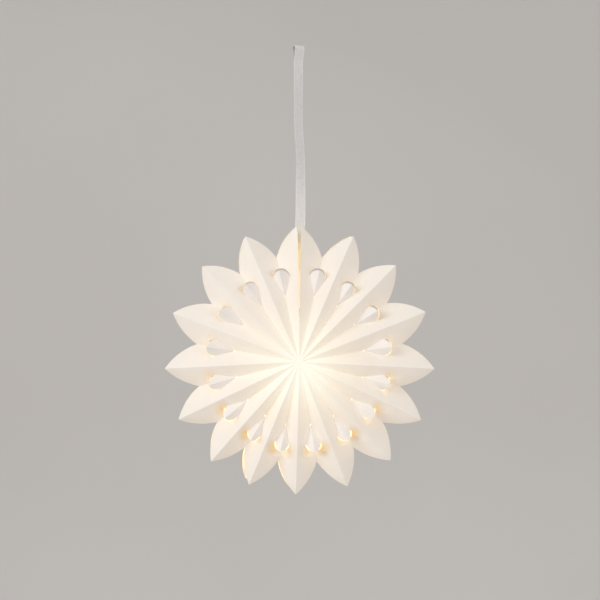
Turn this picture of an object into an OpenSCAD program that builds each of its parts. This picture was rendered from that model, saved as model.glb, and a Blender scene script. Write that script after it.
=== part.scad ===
// A round paper star of pleated card with a small battery light inside, hung on a ribbon.
// Millimetres. The hook bears at the origin, Z is up and the front of the star faces -Y.

/* [Star] */
// radius of the circle through the petal tips
tip_radius = 150; // [120:1:180]
// radius of the circle through the notches between the petals
notch_radius = 116; // [95:1:140]
// number of petals
petals = 16; // [12:2:20]
// how far the middle of each card stands out from the plane where the cards meet
middle_rise = 40; // [28:1:52]
// how far each petal tip stands out from that plane
tip_rise = 13.5; // [4:0.5:22]
// thickness of the card
card = 0.4; // [0.3:0.05:0.8]
// bulge of the petal edges as a share of their length
edge_bulge = 0.085; // [0.03:0.005:0.14]
// radius of the small hole where all folds meet
hub_hole = 1.2; // [0.8:0.1:4]
// how deep the cards are pressed together at the notches
notch_press = 0.3; // [0.1:0.05:0.35]
// height of the middle of the star under the hook
drop = 350; // [250:5:500]

/* [Teardrops] */
// radius at the pointed inner end of the teardrop flaps
drop_point = 72.5; // [60:0.5:85]
// radius at the middle of their round outer end
drop_middle = 95.7; // [88:0.1:102]
// half width of their round outer end
drop_round = 8.6; // [6:0.1:12]
// radius at the free end of the flaps, which curl back from the opening
flap_end = 102;   // [95:0.1:103]
// radius of the small hole at their pointed end, where four folds meet
drop_relief = 0.6; // [0.4:0.1:1.2]

/* [Seam] */
// radius up to which the seam in the top petal is glued shut
seam_start = 48; // [20:1:90]
// width of the seam where it starts to open
seam_narrow = 0.5; // [0.2:0.1:1.5]
// width of the seam near the petal tip
seam_wide = 2.6; // [1:0.1:6]
// width of the seam at the very tip
seam_tip = 5; // [2:0.25:9]
// radius up to which the card strip behind the seam reaches
strip_outer = 114.3; // [100:0.1:114.4]
// radius at its lower edge
strip_inner = 104; // [90:1:110]

/* [Ribbon] */
// width of the ribbon
ribbon_width = 11; // [6:0.5:16]
// thickness of the ribbon
ribbon_thick = 0.4; // [0.3:0.05:0.8]
// gap between the two strands
strand_gap = 0.4; // [0.4:0.1:2]
// inner radius of the eye for the hook
eye_radius = 4; // [3:0.5:8]
// length of the slope below the eye
eye_slope = 14; // [8:1:30]

/* [Light] */
// half width of the space for the two cells
bay_half = 10.8; // [10.6:0.1:12]
// half depth of that space
bay_deep = 5.4; // [5.3:0.1:6.5]
// wall of the case
wall = 1.4; // [1:0.1:2.5]
// thickness of the back cover
cover_thick = 1.4; // [1:0.1:2.5]
// upper face of the floor under the cells, from the middle of the star
bay_floor = 2; // [0:0.5:10]
// thickness of that floor, which takes the screw
floor_thick = 5; // [4:0.5:8]
// lower face of the case, from the middle of the star
case_bottom = -13.5; // [-18:0.5:-12]
// radius of the round shade under the case
dome_radius = 6.4; // [6:0.1:6.8]
// wall of this shade
dome_wall = 0.8; // [0.6:0.1:1.5]
// straight part of this shade
dome_straight = 3; // [1:0.5:6]
// travel of the switch slider
slider_travel = 2; // [1:0.25:3]

/* [Cells] */
// diameter of a cell
cell_diameter = 10.4; // [10:0.1:10.5]
// length of a cell with its button
cell_length = 44.5; // [44:0.1:44.7]
// thickness of the contact plates
plate = 0.4; // [0.3:0.05:0.6]
// height of a pressed contact spring
spring_height = 2.6; // [2.2:0.1:3.2]
// wire of the springs
wire = 0.8; // [0.6:0.05:0.9]

/* [Hidden] */
half_pitch = 180 / petals;
round_fn = 96;

function unit(a) = a / norm(a);
// inner face of the front card, d from the middle along a ridge or a valley
function ridge_y(d) = -middle_rise + (middle_rise - tip_rise) * d / tip_radius;
function valley_y(d) = -middle_rise + (middle_rise + notch_press) * d / notch_radius;
ridge_run = (middle_rise - tip_rise) / tip_radius;
// slope of a panel across its ridge, and across its valley, seen from the front
panel_across = (valley_y(100) - ridge_y(100 * cos(half_pitch))) / (100 * sin(half_pitch));
across = (valley_y(100 * cos(half_pitch)) - ridge_y(100)) / (100 * sin(half_pitch));
// height of the card along Y, so that it is as thick as stated across
card_y = card * sqrt(1 + panel_across * panel_across + ridge_run * ridge_run);
// petal edge seen from the front: an arc over the line from tip to notch
notch_x = notch_radius * sin(half_pitch);
notch_z = notch_radius * cos(half_pitch);
chord_len = norm([notch_x, tip_radius - notch_z]);
bulge = edge_bulge * chord_len;
arc_radius = chord_len * chord_len / (8 * bulge) + bulge / 2;
edge_out = unit([tip_radius - notch_z, notch_x]);
arc_x = notch_x / 2 - (arc_radius - bulge) * edge_out[0];
arc_z = (tip_radius + notch_z) / 2 - (arc_radius - bulge) * edge_out[1];
// teardrop seen from the front, on a valley that points up
drop_long = drop_middle - drop_point;
half_open = asin(1.02 * drop_round / drop_long);
drop_side = drop_long * cos(half_open);
crease_x = drop_side * sin(half_open);
crease_z = drop_point + drop_side * cos(half_open);
// the plane through both creases of a flap, as a slope along the valley
valley_slope = (valley_y(100) - valley_y(0)) / 100;
crease_slope = valley_slope - across * crease_x / (crease_z - drop_point);
// the ridge of the flap is the valley line turned over in that plane
ridge_turn = 2 * atan(crease_slope) - atan(valley_slope);
ridge_slope = tan(ridge_turn);
// arc at the free end of a flap, from crease end to crease end
flap_round = (pow(crease_x, 2) + pow(flap_end - crease_z, 2)) / (2 * (flap_end - crease_z));
flap_middle = flap_end - flap_round;
// slope of a half flap across its ridge
flap_across = (crease_slope - ridge_slope) * (crease_z - drop_point) / crease_x;

// heights inside the light, from the middle of the star
cell_x = cell_diameter / 2 + 0.1;
cell_low = bay_floor + plate + spring_height;
bay_top = cell_low + cell_length + plate;
case_top = bay_top + wall + 1;
case_half = bay_half + wall;
case_front = -bay_deep - wall;
board_top = -5.6;
board_low = -6.8;
bar_low = case_top + 5;
bar_top = bar_low + 3;
slider_z = -9.4;
slider_x = -1;

// what is drawn in X and Z, made a prism along Y from y0 to y1
module along_y(y0, y1) {
    translate([0, y1, 0]) rotate([90, 0, 0]) linear_extrude(y1 - y0) children();
}

// rod along Y
module rod(x, z, r, y0, y1) {
    translate([x, y1, z]) rotate([90, 0, 0]) cylinder(h = y1 - y0, r = r, $fn = round_fn);
}

// puts a profile drawn in X and height across a fold line that starts at height y in the
// middle, runs up and leans back by angle a, and makes it a bar from z0 to z1 along that line
module fold_bar(y, a, z0, z1) {
    translate([0, y, 0]) rotate([-a, 0, 0]) translate([0, 0, z0])
        linear_extrude(z1 - z0) mirror([0, 1]) children();
}

// all that lies behind the front of one petal, ridge up, back to depth deep
module petal_block(shift, deep) {
    a = atan(ridge_run);
    f = panel_across * cos(a);
    w = 60;
    intersection() {
        translate([0, shift, 0]) fold_bar(-middle_rise, a, -10, 200)
            polygon([[0, 0], [w, -w * f], [w, -120], [-w, -120], [-w, -w * f]]);
        along_y(-80, deep) polygon([[0, 0], [200 * tan(1.4 * half_pitch), 200],
                                    [-200 * tan(1.4 * half_pitch), 200]]);
    }
}

// the same for all petals, with the hub left open
module pleated_block(shift, deep) {
    for (k = [0 : petals - 1]) rotate([0, k * 2 * half_pitch, 0]) difference() {
        petal_block(shift, deep);
        rod(0, 0, hub_hole, -90, 90);
    }
}

// the folded card before its edge is cut, middle at the origin, front towards -Y
module folds() {
    difference() {
        pleated_block(-card_y, 0);
        pleated_block(0, 10);
    }
}

// outline of the star as a prism along Y
module star_outline() {
    rod(0, 0, 0.93 * notch_radius, -60, 20);
    for (k = [0 : petals - 1]) rotate([0, k * 2 * half_pitch, 0]) intersection() {
        rod(arc_x, arc_z, arc_radius, -60, 20);
        rod(-arc_x, arc_z, arc_radius, -60, 20);
        translate([-40, -50, 0.75 * notch_radius]) cube([80, 60, 100]);
    }
}

// opening of a teardrop, valley up
module drop_opening() {
    rod(0, drop_middle, drop_round, -60, 20);
    along_y(-60, 20) polygon([[0, drop_point], [crease_x, crease_z], [-crease_x, crease_z]]);
}

// the flap that is turned over in this opening; it laps the card by a hair at its creases
module flap() {
    hair = 0.25;
    sink = 0.12;
    a = ridge_turn;
    f = flap_across * cos(a);
    t = card_y * cos(a);
    w = 16;
    intersection() {
        fold_bar(valley_y(drop_point) + sink - drop_point * ridge_slope, a, 60, 120)
            polygon([[0, 0], [w, -w * f], [w, t - w * f], [0, t], [-w, t - w * f], [-w, -w * f]]);
        union() {
            intersection() {
                rod(0, flap_middle, flap_round, -60, 20);
                along_y(-60, 20) polygon([[0, drop_point], [2 * crease_x, 2 * crease_z - drop_point],
                                          [-2 * crease_x, 2 * crease_z - drop_point]]);
            }
            along_y(-60, 20) polygon([[0, drop_point - 0.4],
                [crease_x + hair * cos(half_open), crease_z - hair * sin(half_open)],
                [-crease_x - hair * cos(half_open), crease_z - hair * sin(half_open)]]);
        }
    }
}

// one pleated card, middle of the star at the origin, front side
module pleated_card() {
    difference() {
        union() {
            difference() {
                intersection() {
                    folds();
                    star_outline();
                }
                for (k = [0 : petals - 1]) rotate([0, (2 * k + 1) * half_pitch, 0]) drop_opening();
            }
            for (k = [0 : petals - 1]) rotate([0, (2 * k + 1) * half_pitch, 0]) flap();
        }
        // small holes where the folds meet
        rod(0, 0, hub_hole, -60, 20);
        for (k = [0 : petals - 1]) rotate([0, (2 * k + 1) * half_pitch, 0])
            rod(0, drop_point, drop_relief, -60, 20);
        // what is pressed flat at the notches
        translate([-200, 0, -200]) cube([400, 20, 400]);
        // seam in the top petal
        along_y(-60, 1)
            polygon([[-seam_narrow / 2, seam_start], [seam_narrow / 2, seam_start],
                     [seam_wide / 2, tip_radius - 10], [seam_tip / 2, tip_radius + 2],
                     [-seam_tip / 2, tip_radius + 2], [-seam_wide / 2, tip_radius - 10]]);
    }
}

module star_middle() { translate([0, 0, -drop]) children(); }

module front_star() { color("Ivory") star_middle() pleated_card(); }

module back_star() { color("Ivory") star_middle() rotate([0, 0, 180]) pleated_card(); }

// card strip between the notches on both sides of the seam, which also holds the ribbon
module seam_strip() {
    color("Ivory") star_middle() along_y(-strand_gap / 2, strand_gap / 2)
        polygon([for (q = [[-1, strip_inner], [1, strip_inner], [1, strip_outer], [-1, strip_outer]])
                 q[1] * [q[0] * sin(half_pitch), cos(half_pitch)]]);
}

// space inside the ribbon loop, grown by g on all sides and w wide, drawn in Y and Z
module loop_space(g, w) {
    s = strand_gap / 2 + g;
    e = eye_radius + g;
    top = -eye_radius;
    // the slope runs from its foot to the side of the eye
    foot = [s, top - eye_slope];
    d = norm(foot - [0, top]);
    near = e - 0.05;
    a = atan2(foot[1] - top, foot[0]) + acos(near / d);
    touch = [near * cos(a), top + near * sin(a)];
    translate([0, top, -w / 2]) cylinder(h = w, r = e, $fn = round_fn);
    translate([0, 0, -w / 2]) linear_extrude(w)
    polygon([[-touch[0], touch[1]], touch, foot, [s, 12 + bar_top - drop],
             [2 + g, bar_top - drop + 0.5], [2 + g, bar_low - drop - g],
             [-2 - g, bar_low - drop - g], [-2 - g, bar_top - drop + 0.5],
             [-s, 12 + bar_top - drop], [-foot[0], foot[1]]]);
}

module hanging_ribbon() {
    color("Gainsboro") rotate([90, 0, 90]) difference() {
        loop_space(ribbon_thick, ribbon_width);
        loop_space(0, ribbon_width + 2);
    }
}

// a box from its two corners
module span(a, b) { translate(a) cube(b - a); }

module light_case() {
    color("White") star_middle() {
        difference() {
            union() {
                span([-case_half, case_front, case_bottom], [case_half, bay_deep, case_top]);
                // tab with the slot for the ribbon
                span([-8.5, -2, case_top - 0.5], [8.5, 2, bar_top]);
            }
            // space for the cells and for the electronics
            span([-bay_half, -bay_deep, bay_floor], [bay_half, bay_deep + 1, bay_top]);
            span([-bay_half, -bay_deep, case_bottom + wall + 0.1],
                 [bay_half, bay_deep + 1, bay_floor - floor_thick]);
            // slot for the ribbon
            span([-6.3, -3, bar_low - 2.4], [6.3, 3, bar_low]);
            // pilot hole of the screw
            translate([0, bay_deep + 1, bay_floor - floor_thick / 2]) rotate([90, 0, 0])
                cylinder(h = 8.5, r = 1, $fn = 32);
            // slots for the tails of the contacts
            for (x = [-1, 1]) span([x * 8 - 1, 3.6, bay_floor - floor_thick - 1],
                                   [x * 8 + 1, 4.2, bay_floor + 1]);
            // round hole for the shade
            translate([0, 0, case_bottom - 1]) cylinder(h = 4, r = 4.8, $fn = 64);
            // slot for the slider
            span([slider_x - 1.1, case_front - 1, slider_z - 1.1],
                 [slider_x + slider_travel + 1.1, -bay_deep + 1, slider_z + 1.1]);
        }
        // ledges that carry the board
        for (x = [-1, 1]) intersection() {
            span([-bay_half - 0.5, -bay_deep - 0.5, board_low - 1],
                 [bay_half + 0.5, bay_deep - 1.5, board_low]);
            translate([x * bay_half, 0, board_low]) cube([3, 20, 4], center = true);
        }
        // stops above the board
        for (x = [-1, 1]) span([x * 9.8 - 1.5, -bay_deep - 0.5, board_top],
                               [x * 9.8 + 1.5, -bay_deep + 2, bay_floor - floor_thick + 0.5]);
    }
}

module case_cover() {
    color("White") star_middle() difference() {
        union() {
            span([-case_half, bay_deep, case_bottom], [case_half, bay_deep + cover_thick, case_top]);
            // rim that finds the case
            difference() {
                span([-bay_half + 0.1, bay_deep - 1.2, bay_floor + 3.2],
                     [bay_half - 0.1, bay_deep + 0.2, bay_top - 3.2]);
                span([-bay_half + 1, bay_deep - 2, bay_floor + 4.1],
                     [bay_half - 1, bay_deep + 0.1, bay_top - 4.1]);
                for (x = [-1, 1]) translate([x * cell_x, 0, 0])
                    cylinder(h = 60, r = cell_diameter / 2 + 0.15, $fn = 64);
            }
        }
        translate([0, 20, bay_floor - floor_thick / 2]) rotate([90, 0, 0])
            cylinder(h = 20, r = 1.2, $fn = 32);
        // finger grooves
        for (k = [0 : 3]) translate([-6, bay_deep + cover_thick + 0.2, case_top - 6 - 2 * k])
            rotate([0, 90, 0]) cylinder(h = 12, r = 0.6, $fn = 24);
    }
}

module cover_screw() {
    color("Silver") star_middle() translate([0, bay_deep + cover_thick, bay_floor - floor_thick / 2])
        rotate([90, 0, 0]) difference() {
            union() {
                translate([0, 0, -1.2]) cylinder(h = 1.2, r = 1.9, $fn = 48);
                cylinder(h = 8, r = 1, $fn = 32);
            }
            for (a = [0, 90]) rotate([0, 0, a]) translate([0, 0, -1.2])
                cube([2.4, 0.5, 1.2], center = true);
        }
}

// one cell standing on its flat end
module cell() {
    body = cell_length - 1.2;
    cylinder(h = body, r = cell_diameter / 2, $fn = 64);
    cylinder(h = cell_length, r = 1.8, $fn = 48);
}

module left_cell() {
    color("SteelBlue") star_middle() translate([-cell_x, 0, cell_low]) cell();
}

module right_cell() {
    color("SteelBlue") star_middle()
        translate([cell_x, 0, bay_floor + plate + cell_length]) mirror([0, 0, 1]) cell();
}

// a pressed conical spring on its plate, plate underneath
module spring_on_plate() {
    span([-4.2, -4.6, 0], [4.2, 4.4, plate]);
    step = (spring_height - wire + 0.1) / 3;
    for (k = [0 : 3]) translate([0, 0, plate - 0.1 + wire / 2 + k * step])
        rotate_extrude($fn = 48) translate([3.6 - 0.42 * k, 0]) circle(wire / 2, $fn = 16);
}

// tail that runs down to the board
module tail(x) {
    span([x - 0.8, 3.7, board_top], [x + 0.8, 4.1, bay_floor + plate]);
}

module spring_contact() {
    color("LightSteelBlue") star_middle() {
        translate([-cell_x, 0, bay_floor]) spring_on_plate();
        tail(-8);
    }
}

module plate_contact() {
    color("LightSteelBlue") star_middle() {
        translate([cell_x, 0, bay_floor]) span([-4.2, -4.6, 0], [4.2, 4.4, plate]);
        tail(8);
    }
}

module bridge_contact() {
    color("LightSteelBlue") star_middle() translate([0, 0, bay_top]) mirror([0, 0, 1]) {
        translate([cell_x, 0, 0]) spring_on_plate();
        translate([-cell_x, 0, 0]) span([-4.2, -4.6, 0], [4.2, 4.4, plate]);
        span([-3, -3, 0], [3, 3, plate]);
    }
}

module circuit_board() {
    color("DarkGreen") star_middle()
        span([-bay_half + 0.3, -bay_deep + 0.2, board_low], [bay_half - 0.3, bay_deep - 0.6, board_top]);
}

module led() {
    color("LightYellow") star_middle() translate([0, 0, board_low]) mirror([0, 0, 1]) {
        cylinder(h = 1, r = 2.9, $fn = 48);
        cylinder(h = 6.1, r = 2.5, $fn = 48);
        translate([0, 0, 6.1]) sphere(2.5, $fn = 48);
    }
}

module resistor() {
    color("Khaki") star_middle() translate([3.4, 2.6, board_top + 0.3]) {
        span([-1.6, -0.8, -0.3], [1.6, 0.8, 0.3]);
    }
}

module lamp_dome() {
    color("WhiteSmoke") star_middle() translate([0, 0, case_bottom]) mirror([0, 0, 1]) difference() {
        union() {
            translate([0, 0, -wall - 0.1]) cylinder(h = wall + 1, r = 4.8, $fn = 64);
            cylinder(h = dome_straight, r = dome_radius, $fn = round_fn);
            intersection() {
                translate([0, 0, dome_straight]) sphere(dome_radius, $fn = round_fn);
                translate([-20, -20, dome_straight - 0.5]) cube([40, 40, 40]);
            }
        }
        // hollow of the straight part and of the round end
        translate([0, 0, dome_wall]) cylinder(h = dome_straight - dome_wall,
                                              r = dome_radius - dome_wall, $fn = round_fn);
        intersection() {
            translate([0, 0, dome_straight]) sphere(dome_radius - dome_wall, $fn = round_fn);
            translate([-20, -20, dome_straight]) cube([40, 40, 40]);
        }
        translate([0, 0, -wall - 1]) cylinder(h = wall + 3, r = 4, $fn = 64);
    }
}

module switch_body() {
    color("DimGray") star_middle() difference() {
        span([slider_x - 3.2, -bay_deep, slider_z - 2.3],
             [slider_x + slider_travel + 3.2, -bay_deep + 1.7, board_low]);
        span([slider_x - 2.05, -bay_deep - 1, slider_z - 1.5],
             [slider_x + slider_travel + 2.05, -bay_deep + 0.9, slider_z + 1.5]);
    }
}

module switch_slider() {
    color("White") star_middle() {
        span([slider_x - 1, case_front - 1.4, slider_z - 1], [slider_x + 1, -bay_deep + 0.5, slider_z + 1]);
        // foot that is wider than the slot
        span([slider_x - 2, -bay_deep + 0.05, slider_z - 1.45],
             [slider_x + 2, -bay_deep + 0.85, slider_z + 1.45]);
    }
}

front_star();
back_star();
seam_strip();
hanging_ribbon();
light_case();
case_cover();
cover_screw();
left_cell();
right_cell();
spring_contact();
plate_contact();
bridge_contact();
circuit_board();
led();
resistor();
lamp_dome();
switch_body();
switch_slider();
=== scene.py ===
# %% [markdown]
# # A paper star with a light inside
# The star is two sheets of card, pleated and set back to back, with teardrop flaps turned out of
# every valley. A small battery light hangs in it on a ribbon. The frame that is loaded here holds
# every solid at its true size, so all that follows dresses it: card, ribbon, light, lamps, camera.

# %% Load the frame
import math

import bpy
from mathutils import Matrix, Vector


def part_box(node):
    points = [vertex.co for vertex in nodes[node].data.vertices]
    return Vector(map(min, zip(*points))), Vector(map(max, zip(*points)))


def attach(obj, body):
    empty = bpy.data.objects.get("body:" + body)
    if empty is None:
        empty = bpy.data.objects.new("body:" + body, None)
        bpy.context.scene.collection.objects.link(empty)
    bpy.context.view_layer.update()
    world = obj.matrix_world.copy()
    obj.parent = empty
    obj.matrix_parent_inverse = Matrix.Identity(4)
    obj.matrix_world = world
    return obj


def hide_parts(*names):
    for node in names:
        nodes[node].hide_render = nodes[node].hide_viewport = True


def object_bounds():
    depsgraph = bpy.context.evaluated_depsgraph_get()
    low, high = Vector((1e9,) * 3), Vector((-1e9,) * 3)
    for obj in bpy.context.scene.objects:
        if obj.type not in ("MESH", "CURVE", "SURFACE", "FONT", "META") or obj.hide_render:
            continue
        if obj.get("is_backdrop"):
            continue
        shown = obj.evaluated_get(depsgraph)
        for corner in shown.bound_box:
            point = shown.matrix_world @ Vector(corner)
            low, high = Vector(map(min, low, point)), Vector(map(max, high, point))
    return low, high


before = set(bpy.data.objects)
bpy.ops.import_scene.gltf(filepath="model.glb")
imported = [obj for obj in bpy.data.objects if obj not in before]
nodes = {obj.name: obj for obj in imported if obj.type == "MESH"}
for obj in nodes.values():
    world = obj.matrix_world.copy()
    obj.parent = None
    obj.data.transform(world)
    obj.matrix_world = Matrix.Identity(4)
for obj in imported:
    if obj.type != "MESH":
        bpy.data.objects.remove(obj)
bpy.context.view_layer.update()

middle = Vector((0, 0, -0.350))
petals, pitch = 16, math.radians(22.5)

# %% [markdown]
# ## Camera
# The lens is a long one, from a little above the star: the folds meet lower in the picture than the
# middle of the circle through the tips. The aim is a little above the star, so that the ribbon fits.

# %% Camera
eye_height = math.radians(4.3)
# metres from the star and to the right of it, and degrees by which the camera looks down
stand_off, side_step, look_down = 1.312, 0.0006, 1.394
camera_data = bpy.data.cameras.new("camera")
camera_data.lens, camera_data.sensor_width = 70, 36
camera = bpy.data.objects.new("camera", camera_data)
bpy.context.scene.collection.objects.link(camera)
camera.location = middle + stand_off * Vector((0, -math.cos(eye_height), math.sin(eye_height)))
camera.location.x += side_step
camera.rotation_euler = (math.radians(90 - look_down), 0, 0)
bpy.context.scene.camera = camera
print("camera at", tuple(round(v, 3) for v in camera.location))


# %% [markdown]
# ## Helpers for finishes
# Every finish is built from nodes. These few helpers keep the cells short: one adds a node and sets
# its values, and the others join sockets for sums, for noise and for a blend of two shades.

# %% Helpers for finishes
def new_finish(name):
    finish = bpy.data.materials.new(name)
    finish.use_nodes = True
    tree = finish.node_tree
    shader = tree.nodes["Principled BSDF"]
    return finish, tree, shader


def node(tree, kind, values=(), **settings):
    made = tree.nodes.new("ShaderNode" + kind)
    for key, value in settings.items():
        setattr(made, key, value)
    for key, value in dict(values).items():
        if isinstance(value, bpy.types.NodeSocket):
            tree.links.new(value, made.inputs[key])
        else:
            made.inputs[key].default_value = value
    return made


def arithmetic(tree, operation, a, b=0.0):
    return node(tree, "Math", {0: a, 1: b}, operation=operation).outputs[0]


def times(tree, a, b):
    return arithmetic(tree, "MULTIPLY", a, b)


def plus(tree, a, b):
    return arithmetic(tree, "ADD", a, b)


def minus(tree, a, b):
    return arithmetic(tree, "SUBTRACT", a, b)


def shade_between(tree, factor, first, second):
    """A blend of two shades, each of them a plain colour or a socket."""
    first, second = (c if isinstance(c, bpy.types.NodeSocket) else (*c, 1) for c in (first, second))
    return node(tree, "Mix", {0: factor, 6: first, 7: second}, data_type="RGBA").outputs[2]


def grain(tree, place, size, detail=3.0, roughness=0.55):
    made = node(tree, "TexNoise", {"Vector": place, "Scale": 1 / size, "Detail": detail,
                                   "Roughness": roughness})
    return made.outputs["Fac"]


def place_of(tree):
    return node(tree, "TexCoord").outputs["Object"]


def between(tree, value, low, high):
    return node(tree, "MapRange", {"Value": value, "From Min": low, "From Max": high}).outputs[0]


# %% [markdown]
# ## The card
# White card of about 250 g is matt, with a fine tooth and faint fibres. It lets some light through,
# so near the lamp it glows from within, warm and strongest a little below the middle. The glow is
# written as light that the card gives off, falling with the distance from the lamp.

# %% Card finish
glow_middle = Vector((0.003, 0, -0.3640))
glow_reach = 0.16
# light given off at these distances from the lamp, in metres
glow_steps = [(0.00, (0.290, 0.275, 0.195)), (0.02, (0.266, 0.236, 0.152)),
              (0.04, (0.222, 0.168, 0.088)), (0.06, (0.178, 0.126, 0.062)),
              (0.08, (0.146, 0.096, 0.048)), (0.11, (0.126, 0.084, 0.046)),
              (0.15, (0.118, 0.082, 0.047))]
# the inner faces take painted lamp light: golden, and darker above, as the lamp shines down
inner_middle = Vector((0, 0, -0.3900))
inner_steps = [(0.00, (0.80, 0.68, 0.40)), (0.04, (0.55, 0.42, 0.18)),
               (0.08, (0.34, 0.25, 0.09)), (0.11, (0.22, 0.16, 0.06)),
               (0.135, (0.15, 0.110, 0.045)), (0.16, (0.15, 0.110, 0.045))]
# a painted lamp-light spot lies this far beside its valley line and this far from the middle, this wide
spot_across, spot_along, spot_reach = 0.0095, 0.1015, 0.0110
painted_spot_colour = (0.70, 0.52, 0.27)


def glow_ramp(tree, value, steps):
    made = node(tree, "ValToRGB", {0: value})
    ramp = made.color_ramp
    while len(ramp.elements) < len(steps):
        ramp.elements.new(0.5)
    for element, (distance, light) in zip(ramp.elements, steps):
        element.position, element.color = distance / glow_reach, (*light, 1)
    return made.outputs[0]


def root_of_squares(tree, a, b):
    return arithmetic(tree, "SQRT", plus(tree, times(tree, a, a), times(tree, b, b)))


def painted_lamp_spots(tree):
    """Painted lamp light beside the round ends of the lower teardrops, by the place on the flat sheet.
    """
    flat = node(tree, "SeparateXYZ", {0: node(tree, "UVMap", uv_map="sheet").outputs[0]})
    right, up = flat.outputs[0], flat.outputs[1]
    turn = arithmetic(tree, "DIVIDE", arithmetic(tree, "ARCTAN2", right, up), pitch)
    turn = times(tree, minus(tree, arithmetic(tree, "FRACT", turn), 0.5), pitch)
    r = root_of_squares(tree, right, up)
    across = times(tree, r, arithmetic(tree, "SINE", turn))
    beside = minus(tree, arithmetic(tree, "ABSOLUTE", across), spot_across)
    off = root_of_squares(tree, beside, minus(tree, r, spot_along))
    spot = between(tree, off, spot_reach, 0.0005)
    # faces turned down get less of the room's light, so the lamp shows most there
    side = times(tree, arithmetic(tree, "SIGN", across), right)
    shaded = plus(tree, times(tree, between(tree, side, 0.035, -0.035), 0.85), 0.15)
    low = times(tree, between(tree, up, 0.030, -0.075), 0.85)
    return times(tree, spot, times(tree, shaded, low))


def make_card(name, glow, steps, source, dark, pale, spots=False):
    finish, tree, shader = new_finish(name)
    place = place_of(tree)
    fibre = grain(tree, place, 0.0016, 6, 0.65)
    cloud = grain(tree, place, 0.030, 2)
    tone = plus(tree, times(tree, fibre, 0.55), times(tree, cloud, 0.45))
    colour = shade_between(tree, between(tree, tone, 0.3, 0.7), dark, pale)
    if spots:
        # painted lamp light: the card is made warmer and a little darker there, on faces shaded from the
        # room
        colour = shade_between(tree, painted_lamp_spots(tree), colour, painted_spot_colour)
    tree.links.new(colour, shader.inputs["Base Color"])
    shader.inputs["Roughness"].default_value = 0.82
    shader.inputs["Specular IOR Level"].default_value = 0.25
    tooth = grain(tree, place, 0.0007, 4, 0.6)
    wave = grain(tree, place, 0.045, 1.5)
    bump = node(tree, "Bump", {"Strength": 0.25, "Distance": 0.00008, "Height": tooth})
    broad = node(tree, "Bump", {"Strength": 0.5, "Distance": 0.0012, "Height": wave,
                                "Normal": bump.outputs[0]})
    tree.links.new(broad.outputs[0], shader.inputs["Normal"])
    # only how far across and up counts, so that front and back glow alike
    seen = node(tree, "VectorMath", {0: place, 1: (1, 0, 1)}, operation="MULTIPLY").outputs["Vector"]
    away = node(tree, "VectorMath", {0: seen, 1: source}, operation="DISTANCE").outputs["Value"]
    share = arithmetic(tree, "DIVIDE", away, glow_reach)
    tree.links.new(glow_ramp(tree, share, steps), shader.inputs["Emission Color"])
    shader.inputs["Emission Strength"].default_value = glow
    return finish


white = ((0.79, 0.765, 0.725), (0.84, 0.82, 0.785))
# flaps: the same card, painted paler and cooler where the lamp's warm light misses them, less glow
flap_white_painted_cool = ((0.835, 0.812, 0.79), (0.885, 0.86, 0.835))
card = make_card("card", 1.0, glow_steps, glow_middle, *white, spots=True)
flap_card_painted_cool = make_card("flap card", 0.45, glow_steps, glow_middle, *flap_white_painted_cool)
# a copy of the card whose faces turned to the lamp take painted lamp light
inner_card_painted_lit = make_card("inner card", 1.0, inner_steps, inner_middle, *white)
print("card finishes made")

# %% [markdown]
# ## The two pleated cards
# Each card is folded from one sheet. A copy of its solid is joined up into one skin and cut across
# its petals, and then every fold sinks a little, as card does when it hangs, and single tips sway.
# The free ends of the flaps differ a little too. At last every fold and cut edge is softened, as
# card never folds to a knife edge.

# %% How the folds hang
# degrees that each fold has sunk away from the top, on the right and on the left of the seam
right_sag = [0, 1.3, 0.8, 0.6, 0.5, 1.0, 1.6, 2.6, 3.7, 3.8, 3.7, 3.3, 2.8, 2.3, 1.8, 1.6, 1.5]
left_sag = [0, 1.3, 1.0, 1.0, 1.0, 1.5, 2.0, 2.9, 3.7, 3.8, 3.7, 3.7, 3.7, 2.1, 0.5, -0.6, -1.5]
fold_step = 11.25
# metres from the middle where a petal is free to sway, and from there to its tip
sway_from, sway_over = 0.106, 0.044
# degrees that each petal tip sways to the right, from the top one round, whose left half is last
front_sway = [0, 0.2, -0.1, 0, 0, 0.1, 0, 0, 0.1, 0, -0.2, 0, 0.1, 0, 0, -0.1, -0.4]
back_sway = [-1.0, -0.6, 0.3, 0.4, 0.3, 0.4, -0.3, 0.3, 1.5, 2.2, 0.5, 0.3, -0.2, -0.2, 0.2, -1.2,
             -1.4]
# millimetres by which some tips reach further out
long_tips = {4: 0.3, 5: 0.9, 6: 1.0, 7: 0.7, 16: 0.3}
# millimetres by which the free ends of the flaps stand nearer to the rim, from the top one round
flap_reach = [-0.4, 0, 0.2, 0.5, 0.6, 0.8, 0.8, 0.6, 0.6, 1.0, 1.5, 1.5, 1.6, 1.6, 0.8, 0.2]
# a teardrop along its valley, in millimetres from the middle: lowest place, point, end of the
# creases, middle of the round end and highest place that a flap reaches, then the round end's radius
drop_low, drop_point, crease_end, drop_middle, drop_high = 72.1, 72.5, 92.4, 95.7, 103.0
drop_round, drop_slope, drop_slack = 8.75, 0.4085, 0.45
flap_length = 9.6


def table_at(table, angle):
    step = min(int(angle / fold_step), len(table) - 2)
    return table[step] + (table[step + 1] - table[step]) * (angle / fold_step - step)


def hung(x, z, sway):
    """Where a place of the card hangs, seen from the front, in metres from the middle."""
    angle, r = math.degrees(math.atan2(x, z)), math.hypot(x, z)
    sag = table_at(right_sag, angle) if angle > 0 else -table_at(left_sag, -angle)
    free = max(0.0, (r - sway_from) / sway_over)
    petal = int(round(angle / (2 * fold_step))) % petals
    if petal == 0 and angle < 0:
        # the top petal is cut in two by the seam, and this is its left half
        petal = petals
    turned = math.radians(angle + sag + sway[petal] * free)
    r += 0.001 * long_tips.get(petal, 0) * free
    return r * math.sin(turned), r * math.cos(turned)


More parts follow.
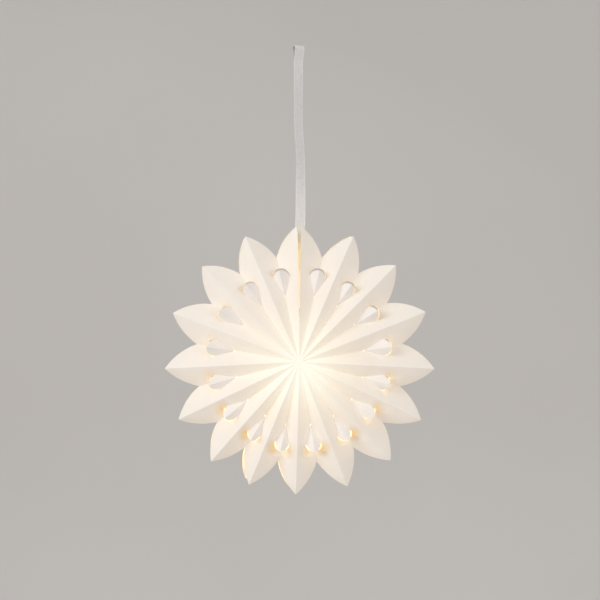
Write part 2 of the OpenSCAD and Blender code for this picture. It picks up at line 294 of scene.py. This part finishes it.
def from_valley(x, z):
    """The flap's number, its valley's angle, and millimetres across and along that valley."""
    turn, r = math.atan2(x, z), 1000 * math.hypot(x, z)
    flap = math.floor(turn / pitch)
    valley = (flap + 0.5) * pitch
    return flap % petals, valley, r * math.sin(turn - valley), r * math.cos(turn - valley)


def opened(x, z):
    """The place moved along its flap, whose free end stands nearer to the rim or further from it."""
    flap, valley, across, along = from_valley(x, z)
    shift = 0.001 * flap_reach[flap] * max(0.0, along - crease_end) / flap_length
    return x + shift * math.sin(valley), z + shift * math.cos(valley)


def in_teardrop(x, z):
    """True for a place in a teardrop or on its rim, seen from the front, in metres from the middle."""
    flap, valley, across, along = from_valley(x, z)
    if along < drop_low or along > drop_high:
        return False
    if along < crease_end:
        return abs(across) < drop_slope * (along - drop_point) + drop_slack
    return math.hypot(across, along - drop_middle) < drop_round


# %% Make the cards
def only(piece):
    bpy.ops.object.select_all(action="DESELECT")
    piece.hide_set(False)
    piece.select_set(True)
    bpy.context.view_layer.objects.active = piece


def copy_of(solid, name):
    bpy.ops.object.select_all(action="DESELECT")
    piece = bpy.data.objects.new(name, nodes[solid].data.copy())
    bpy.context.scene.collection.objects.link(piece)
    only(piece)
    bpy.ops.object.mode_set(mode="EDIT")
    bpy.ops.mesh.select_all(action="SELECT")
    bpy.ops.mesh.remove_doubles(threshold=0.000002)
    bpy.ops.mesh.dissolve_limited(angle_limit=math.radians(0.3))
    bpy.ops.mesh.select_mode(type="FACE")
    bpy.ops.mesh.select_all(action="DESELECT")
    bpy.ops.object.mode_set(mode="OBJECT")
    return piece


# metres from the middle at which every petal is cut across
petal_cuts = (0.107, 0.120, 0.135)


def cut_petals(piece):
    """Cuts every petal across past the teardrops, so that both skins of the card bend alike there."""
    mesh = piece.data
    for petal in range(petals):
        ridge = Vector((math.sin(petal * pitch), 0, math.cos(petal * pitch)))
        for along in petal_cuts:
            bpy.ops.object.mode_set(mode="OBJECT")
            for face in mesh.polygons:
                angle = math.atan2(face.center.x, face.center.z - middle.z)
                face.select = round(angle / pitch) % petals == petal
            bpy.ops.object.mode_set(mode="EDIT")
            bpy.ops.mesh.bisect(plane_co=middle + ridge * along, plane_no=ridge)
    bpy.ops.object.mode_set(mode="OBJECT")


# places of the second and third finish in a card's list, and how wide its edges are softened
flap_side, inner_side = 1, 2
softness = 0.00012


def tell_faces_apart(mesh, inward):
    """Flaps take the second finish, painted cool, and faces to the lamp the third, painted lamp-lit."""
    for face in mesh.polygons:
        corners = [mesh.vertices[v].co for v in face.vertices]
        if all(in_teardrop(c.x, c.z - middle.z) for c in corners):
            face.material_index = flap_side
        elif face.normal.y * inward > 0.3:
            face.material_index = inner_side


def hang_up(mesh, sway):
    """Keeps each corner's place on the flat star for the finish, and then lets the card hang."""
    sheet = mesh.uv_layers.new(name="sheet")
    for corner in mesh.loops:
        where = mesh.vertices[corner.vertex_index].co
        sheet.data[corner.index].uv = (where.x, where.z - middle.z)
    card_corners = {v for face in mesh.polygons if face.material_index != flap_side
                    for v in face.vertices}
    for corner in mesh.vertices:
        x, z = corner.co.x, corner.co.z - middle.z
        if corner.index not in card_corners:
            x, z = opened(x, z)
        x, z = hung(x, z, sway)
        corner.co.x, corner.co.z = x, middle.z + z


def soften_edges(piece):
    """Rounds folds and cut edges, except at the crease ends, where flap and card just touch."""
    mesh = piece.data
    faces_at = {}
    for face in mesh.polygons:
        for key in face.edge_keys:
            faces_at.setdefault(key, []).append(face)
    touching = {end for key, faces in faces_at.items() if len(faces) != 2 for end in key}
    weight = mesh.attributes.new("bevel_weight_edge", "FLOAT", "EDGE")
    for edge in mesh.edges:
        faces = faces_at[edge.key]
        if touching & set(edge.key):
            continue
        if faces[0].normal.angle(faces[1].normal, 0) > math.radians(12):
            weight.data[edge.index].value = 1
    bevel = piece.modifiers.new("soft folds", "BEVEL")
    bevel.width, bevel.segments, bevel.limit_method = softness, 2, "WEIGHT"
    bevel.use_clamp_overlap = True
    only(piece)
    bpy.ops.object.modifier_apply(modifier=bevel.name)
    bpy.ops.object.shade_smooth_by_angle(angle=math.radians(30))


def make_star(solid, name, inward, sway):
    piece = copy_of(solid, name)
    cut_petals(piece)
    mesh = piece.data
    mesh.materials.clear()
    for finish in (card, flap_card_painted_cool, inner_card_painted_lit):
        mesh.materials.append(finish)
    tell_faces_apart(mesh, inward)
    hang_up(mesh, sway)
    soften_edges(piece)
    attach(piece, "star")
    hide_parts(solid)
    flaps = sum(face.material_index == flap_side for face in mesh.polygons)
    print(name, len(mesh.vertices), "vertices", flaps, "flap faces")


make_star("front_star", "front_card", 1, front_sway)
make_star("back_star", "back_card", -1, back_sway)

# %% [markdown]
# ## The strip behind the seam
# A strip of the same card joins the two ends of the folded sheets. Its solid has the right shape, so
# it keeps it and only takes the inner card's finish, with its painted lamp light.

# %% Finish the strip
def dress(solid, *finishes):
    slots = nodes[solid].data.materials
    slots.clear()
    for finish in finishes:
        slots.append(finish)


dress("seam_strip", inner_card_painted_lit)

# %% [markdown]
# ## The ribbon
# One woven ribbon, 11 mm wide, goes from the hook down between the cards, through the slot of the
# light and up again, and its ends are sewn together. It is a strip of faces along that loop. Above
# the star the loop is turned a little, as ribbon does on a hook, so that it shows narrower there.

# %% The loop of the ribbon
ribbon_width, ribbon_thick = 0.011, 0.00036
# middle height and radius of the eye, and half the space between the two strands
eye_middle, eye_bend, eye_start = -0.004, 0.0042, 197
strand = 0.0004
# where the loop turns under the bar of the light, and where the strands close up above it
bar_half, bar_low, bar_top, closed_at = 0.00222, -0.29290, -0.2893, -0.2777
strand_top, strand_steps = -0.018, 84


def loop_of_ribbon():
    """Points of the loop in depth and height, up the front strand and down the back one."""
    side = [(0.0, bar_low), (-0.0012, bar_low), (-0.0020, -0.29270), (-bar_half, -0.2920),
            (-bar_half, bar_top)]
    side += [(-bar_half + (bar_half - strand) * t * t * (3 - 2 * t), bar_top + (closed_at - bar_top) * t)
             for t in (0.25, 0.5, 0.75, 1.0)]
    side += [(-strand, closed_at + (strand_top - closed_at) * k / strand_steps)
             for k in range(1, strand_steps + 1)]
    start = (eye_bend * math.cos(math.radians(eye_start)),
             eye_middle + eye_bend * math.sin(math.radians(eye_start)))
    side += [(-strand + (start[0] + strand) * t ** 1.35, strand_top + (start[1] - strand_top) * t)
             for t in (0.2, 0.4, 0.6, 0.8)]
    side += [(eye_bend * math.cos(math.radians(a)), eye_middle + eye_bend * math.sin(math.radians(a)))
             for a in range(eye_start, 89, -12)]
    return side + [(-y, z) for y, z in reversed(side[1:])]


def smooth(a, b, value):
    t = min(1.0, max(0.0, (value - a) / (b - a)))
    return t * t * (3 - 2 * t)


path = loop_of_ribbon()
loop_length = sum(math.dist(a, b) for a, b in zip(path, path[1:] + path[:1]))
print("ribbon loop", round(loop_length, 4), "m,", len(path), "points")

# %% Weave it into a strip
across_count = 6
twist = math.radians(34)
points, faces, places = [], [], []
run = 0.0
for k, (y, z) in enumerate(path):
    run += math.dist(path[k - 1], path[k]) if k else 0.0
    # above the star the strip turns, and it stands a little to the left
    turn = twist * smooth(-0.200, -0.120, z) * (1 - 0.25 * smooth(-0.06, -0.01, z))
    shift = 0.0011 * smooth(-0.215, -0.185, z) - 0.0024 * smooth(-0.130, -0.080, z)
    for j in range(across_count + 1):
        x = ribbon_width * (j / across_count - 0.5)
        points.append((x * math.cos(turn) - y * math.sin(turn) + shift,
                       x * math.sin(turn) + y * math.cos(turn), z))
        places.append((j / across_count, run / ribbon_width))
row = across_count + 1
for k in range(len(path)):
    for j in range(across_count):
        a, b = k * row + j, ((k + 1) % len(path)) * row + j
        faces.append((a, a + 1, b + 1, b))
ribbon_mesh = bpy.data.meshes.new("ribbon")
ribbon_mesh.from_pydata(points, [], faces)
uv = ribbon_mesh.uv_layers.new(name="weave")
for face in ribbon_mesh.polygons:
    last = face.index >= (len(path) - 1) * across_count
    for corner in face.loop_indices:
        u, v = places[ribbon_mesh.loops[corner].vertex_index]
        uv.data[corner].uv = (u, loop_length / ribbon_width if last and v == 0.0 else v)
ribbon = bpy.data.objects.new("ribbon", ribbon_mesh)
bpy.context.scene.collection.objects.link(ribbon)
only(ribbon)
bpy.ops.object.mode_set(mode="EDIT")
bpy.ops.mesh.select_all(action="SELECT")
bpy.ops.mesh.normals_make_consistent(inside=False)
bpy.ops.object.mode_set(mode="OBJECT")
thick = ribbon.modifiers.new("thickness", "SOLIDIFY")
thick.thickness, thick.offset = ribbon_thick, 0
bpy.ops.object.modifier_apply(modifier=thick.name)
bpy.ops.object.shade_smooth_by_angle(angle=math.radians(40))
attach(ribbon, "star")
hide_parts("hanging_ribbon")

# %% [markdown]
# ## The ribbon's weave
# Plain ribbon has fine cross ribs, and this one is lighter along both edges. The pattern follows the
# strip's own map, so it runs along the ribbon and turns with it.

# %% Ribbon finish
weave, tree, shader = new_finish("ribbon weave")
flat_place = node(tree, "UVMap", uv_map="weave").outputs[0]
parts = node(tree, "SeparateXYZ", {0: flat_place})
rib = arithmetic(tree, "SINE", times(tree, parts.outputs[1], 2 * math.pi * 14))
thread = arithmetic(tree, "SINE", times(tree, parts.outputs[0], 2 * math.pi * 30))
edge = arithmetic(tree, "ABSOLUTE", minus(tree, parts.outputs[0], 0.5))
# the ribbon's colour is lighter along both edges
rim = between(tree, edge, 0.425, 0.455)
mottle = grain(tree, place_of(tree), 0.004, 3)
height = plus(tree, times(tree, rib, 0.6), times(tree, thread, 0.3))
tone = plus(tree, plus(tree, times(tree, height, 0.18), mottle), times(tree, rim, 0.5))
colour = shade_between(tree, between(tree, tone, 0.2, 0.9), (0.66, 0.645, 0.635), (0.80, 0.785, 0.775))
tree.links.new(colour, shader.inputs["Base Color"])
bump = node(tree, "Bump", {"Strength": 0.5, "Distance": 0.00006, "Height": height})
tree.links.new(bump.outputs[0], shader.inputs["Normal"])
# painted lamp light: between the cards the ribbon glows warm, and it shows through the seam
up = node(tree, "SeparateXYZ", {0: place_of(tree)}).outputs[2]
hidden = between(tree, up, -0.206, -0.230)
lit = shade_between(tree, hidden, (0, 0, 0), (0.42, 0.29, 0.09))
tree.links.new(lit, shader.inputs["Emission Color"])
shader.inputs["Emission Strength"].default_value = 1.0
shader.inputs["Roughness"].default_value = 0.62
shader.inputs["Sheen Weight"].default_value = 0.25
shader.inputs["Sheen Roughness"].default_value = 0.4
ribbon.data.materials.clear()
ribbon.data.materials.append(weave)
print("ribbon", len(ribbon.data.polygons), "faces")

# %% [markdown]
# ## The light
# The light is a plain moulded case with two small cells. Its solids have the right shapes, so they
# stay, and each takes a finish: finely textured plastic, nickel, steel, cell jackets, green board,
# and the lamp and its frosted shade, which give off warm light.

# %% Plastic and metal finishes
def make_plastic(name, dark, light, roughness, texture=0.0004):
    finish, tree, shader = new_finish(name)
    place = place_of(tree)
    colour = shade_between(tree, grain(tree, place, 0.006, 2), dark, light)
    tree.links.new(colour, shader.inputs["Base Color"])
    spark = grain(tree, place, texture, 3)
    rough = node(tree, "MapRange", {"Value": spark, "To Min": roughness - 0.06,
                                    "To Max": roughness + 0.08})
    tree.links.new(rough.outputs[0], shader.inputs["Roughness"])
    bump = node(tree, "Bump", {"Strength": 0.3, "Distance": 0.00003, "Height": spark})
    tree.links.new(bump.outputs[0], shader.inputs["Normal"])
    return finish


def make_metal(name, dark, light, roughness, stretch=(1, 1, 12)):
    finish, tree, shader = new_finish(name)
    place = node(tree, "Mapping", {"Vector": place_of(tree), "Scale": stretch}).outputs[0]
    scratches = grain(tree, place, 0.0009, 5, 0.7)
    tree.links.new(shade_between(tree, scratches, dark, light), shader.inputs["Base Color"])
    rough = node(tree, "MapRange", {"Value": scratches, "To Min": roughness - 0.08,
                                    "To Max": roughness + 0.12})
    tree.links.new(rough.outputs[0], shader.inputs["Roughness"])
    bump = node(tree, "Bump", {"Strength": 0.2, "Distance": 0.00002, "Height": scratches})
    tree.links.new(bump.outputs[0], shader.inputs["Normal"])
    shader.inputs["Metallic"].default_value = 1.0
    return finish


case_white = make_plastic("case plastic", (0.76, 0.755, 0.73), (0.80, 0.795, 0.775), 0.42)
switch_black = make_plastic("switch plastic", (0.025, 0.025, 0.027), (0.04, 0.04, 0.042), 0.5)
slider_white = make_plastic("slider plastic", (0.72, 0.72, 0.71), (0.78, 0.78, 0.77), 0.35, 0.0002)
nickel = make_metal("nickel", (0.60, 0.57, 0.52), (0.74, 0.71, 0.66), 0.3)
steel = make_metal("screw steel", (0.42, 0.42, 0.43), (0.62, 0.62, 0.63), 0.34, (1, 8, 1))
for solid in ("light_case", "case_cover"):
    dress(solid, case_white)
dress("switch_body", switch_black)
dress("switch_slider", slider_white)
for solid in ("spring_contact", "plate_contact", "bridge_contact"):
    dress(solid, nickel)
dress("cover_screw", steel)


# %% Cell jackets
# metres of bare metal at a cell's flat end and at the end with its button, and of the printed band
flat_end, button_end, band_width = 0.0006, 0.0022, 0.006


def make_cell(name, foot, head):
    """Jacket in the middle, bare metal at both ends, told apart by height."""
    finish, tree, shader = new_finish(name)
    place = place_of(tree)
    height = node(tree, "SeparateXYZ", {0: place}).outputs[2]
    inside = times(tree, arithmetic(tree, "GREATER_THAN", height, foot),
                   arithmetic(tree, "LESS_THAN", height, head))
    band = times(tree, arithmetic(tree, "GREATER_THAN", height, head - band_width), inside)
    bare = shade_between(tree, grain(tree, place, 0.0012, 4), (0.55, 0.54, 0.52), (0.66, 0.65, 0.63))
    jacket = shade_between(tree, grain(tree, place, 0.01, 2), (0.10, 0.15, 0.22), (0.12, 0.18, 0.26))
    banded = shade_between(tree, band, jacket, (0.55, 0.56, 0.57))
    tree.links.new(shade_between(tree, inside, bare, banded), shader.inputs["Base Color"])
    tree.links.new(minus(tree, 1.0, inside), shader.inputs["Metallic"])
    shader.inputs["Roughness"].default_value = 0.28
    return finish


for solid, up in (("left_cell", True), ("right_cell", False)):
    low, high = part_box(solid)
    foot, head = (flat_end, button_end) if up else (button_end, flat_end)
    ends = (low.z + foot, high.z - head)
    dress(solid, make_cell(solid + " jacket", *ends))

# %% Board, lamp and shade
board, tree, shader = new_finish("board")
place = place_of(tree)
shifted = node(tree, "Mapping", {"Vector": place, "Location": (0.003, 0.002, 0)}).outputs[0]
lines = node(tree, "TexBrick", {"Vector": shifted, "Scale": 260.0, "Mortar Size": 0.03,
                                "Color1": (0.02, 0.16, 0.07, 1), "Color2": (0.02, 0.14, 0.06, 1),
                                "Mortar": (0.05, 0.26, 0.11, 1)})
tree.links.new(lines.outputs[0], shader.inputs["Base Color"])
shader.inputs["Roughness"].default_value = 0.3
dress("circuit_board", board)

ceramic, tree, shader = new_finish("resistor")
# the body is dark, and both ends past this far from its middle are tinned
body_middle, body_half = 0.0034, 0.0011
right = node(tree, "SeparateXYZ", {0: place_of(tree)}).outputs[0]
caps = arithmetic(tree, "GREATER_THAN", arithmetic(tree, "ABSOLUTE", minus(tree, right, body_middle)),
                  body_half)
colour = shade_between(tree, caps, (0.03, 0.03, 0.032), (0.62, 0.62, 0.60))
tree.links.new(colour, shader.inputs["Base Color"])
tree.links.new(caps, shader.inputs["Metallic"])
shader.inputs["Roughness"].default_value = 0.4
dress("resistor", ceramic)


def make_lit(name, base, glow, strength, size):
    finish, tree, shader = new_finish(name)
    mottle = grain(tree, place_of(tree), size, 3)
    colour = shade_between(tree, mottle, base, [0.94 * v for v in base])
    tree.links.new(colour, shader.inputs["Base Color"])
    shader.inputs["Roughness"].default_value = 0.5
    shader.inputs["Emission Color"].default_value = (*glow, 1)
    bright = node(tree, "MapRange", {"Value": mottle, "To Min": 0.9 * strength,
                                     "To Max": 1.1 * strength})
    tree.links.new(bright.outputs[0], shader.inputs["Emission Strength"])
    return finish


dress("led", make_lit("lamp resin", (0.9, 0.85, 0.7), (1.0, 0.86, 0.62), 6.0, 0.001))
dress("lamp_dome", make_lit("frosted shade", (0.86, 0.85, 0.82), (1.0, 0.87, 0.64), 2.2, 0.0006))
print("light dressed")

# %% [markdown]
# ## Floor, backdrop and lights
# The star hangs well above a plain pale floor that runs up into a backdrop far behind it, so that
# neither hides it from any side. One large soft lamp on the left gives the folds their light and
# shade, a weaker one on the right fills them, and the small warm lamp in the shade lights the star
# from inside and leaks out beside the lower teardrops, where the card also has painted lamp light.

# %% Floor and backdrop
bpy.ops.object.select_all(action="DESELECT")
floor_size, floor_place, backdrop_height = 12, (0, -2.4, -1.95), 6
bpy.ops.mesh.primitive_plane_add(size=floor_size, location=floor_place)
sweep = bpy.context.object
sweep.name = "sweep"


def pick_edges(chosen):
    """Leaves only these edges of the sweep picked, for the next step in edit mode."""
    bpy.ops.object.mode_set(mode="OBJECT")
    mesh = sweep.data
    for part in (mesh.vertices, mesh.edges, mesh.polygons):
        for item in part:
            item.select = False
    for edge in mesh.edges:
        ends = [mesh.vertices[v] for v in edge.vertices]
        if all(chosen(end.co) for end in ends):
            edge.select = ends[0].select = ends[1].select = True
    bpy.ops.object.mode_set(mode="EDIT")
    bpy.ops.mesh.select_mode(type="EDGE")


far_edge = 0.49 * floor_size
pick_edges(lambda co: co.y > far_edge)
bpy.ops.mesh.extrude_region_move(TRANSFORM_OT_translate={"value": (0, 0, backdrop_height)})
pick_edges(lambda co: co.y > far_edge and co.z < 0.1)
bpy.ops.mesh.bevel(offset=1.2, segments=14, affect="EDGES")
bpy.ops.object.mode_set(mode="OBJECT")
bpy.ops.object.shade_smooth()
pale, tree, shader = new_finish("pale sweep")
shader.inputs["Roughness"].default_value = 0.95
shader.inputs["Specular IOR Level"].default_value = 0.1
tone = grain(tree, place_of(tree), 0.8, 1)
colour = shade_between(tree, between(tree, tone, 0.3, 0.7), (0.72, 0.70, 0.68), (0.74, 0.72, 0.70))
tree.links.new(colour, shader.inputs["Base Color"])
sweep.data.materials.append(pale)
sweep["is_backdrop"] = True


# %% Lights
def soft_lamp(name, place, size, power, colour=(1, 1, 1)):
    data = bpy.data.lights.new(name, "AREA")
    data.shape, data.size, data.energy, data.color = "DISK", size, power, colour
    lamp = bpy.data.objects.new(name, data)
    bpy.context.scene.collection.objects.link(lamp)
    lamp.location = place
    lamp.rotation_euler = (middle - Vector(place)).to_track_quat("-Z", "Y").to_euler()


soft_lamp("key lamp", (-1.9, -1.7, 0.45), 1.5, 31, (1.0, 0.985, 0.97))
soft_lamp("fill lamp", (1.9, -2.1, -0.1), 1.6, 15, (1.0, 0.98, 0.97))
soft_lamp("back lamp", (1.2, 2.0, 1.7), 1.2, 16)
warm = bpy.data.lights.new("small lamp", "POINT")
warm.energy, warm.color, warm.shadow_soft_size = 0.35, (1.0, 0.74, 0.42), 0.005
small_lamp = bpy.data.objects.new("small lamp", warm)
small_lamp.location = (0, 0, -0.3755)
bpy.context.scene.collection.objects.link(small_lamp)

world = bpy.data.worlds.new("plain light")
bpy.context.scene.world = world
world.use_nodes = True
sky = world.node_tree.nodes["Background"]
sky.inputs[0].default_value, sky.inputs[1].default_value = (1.0, 0.985, 0.97, 1), 0.558
bpy.context.scene.view_settings.view_transform = "Standard"

# %% Finish
low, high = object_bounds()
print("dressed from", tuple(round(v, 4) for v in low), "to", tuple(round(v, 4) for v in high))
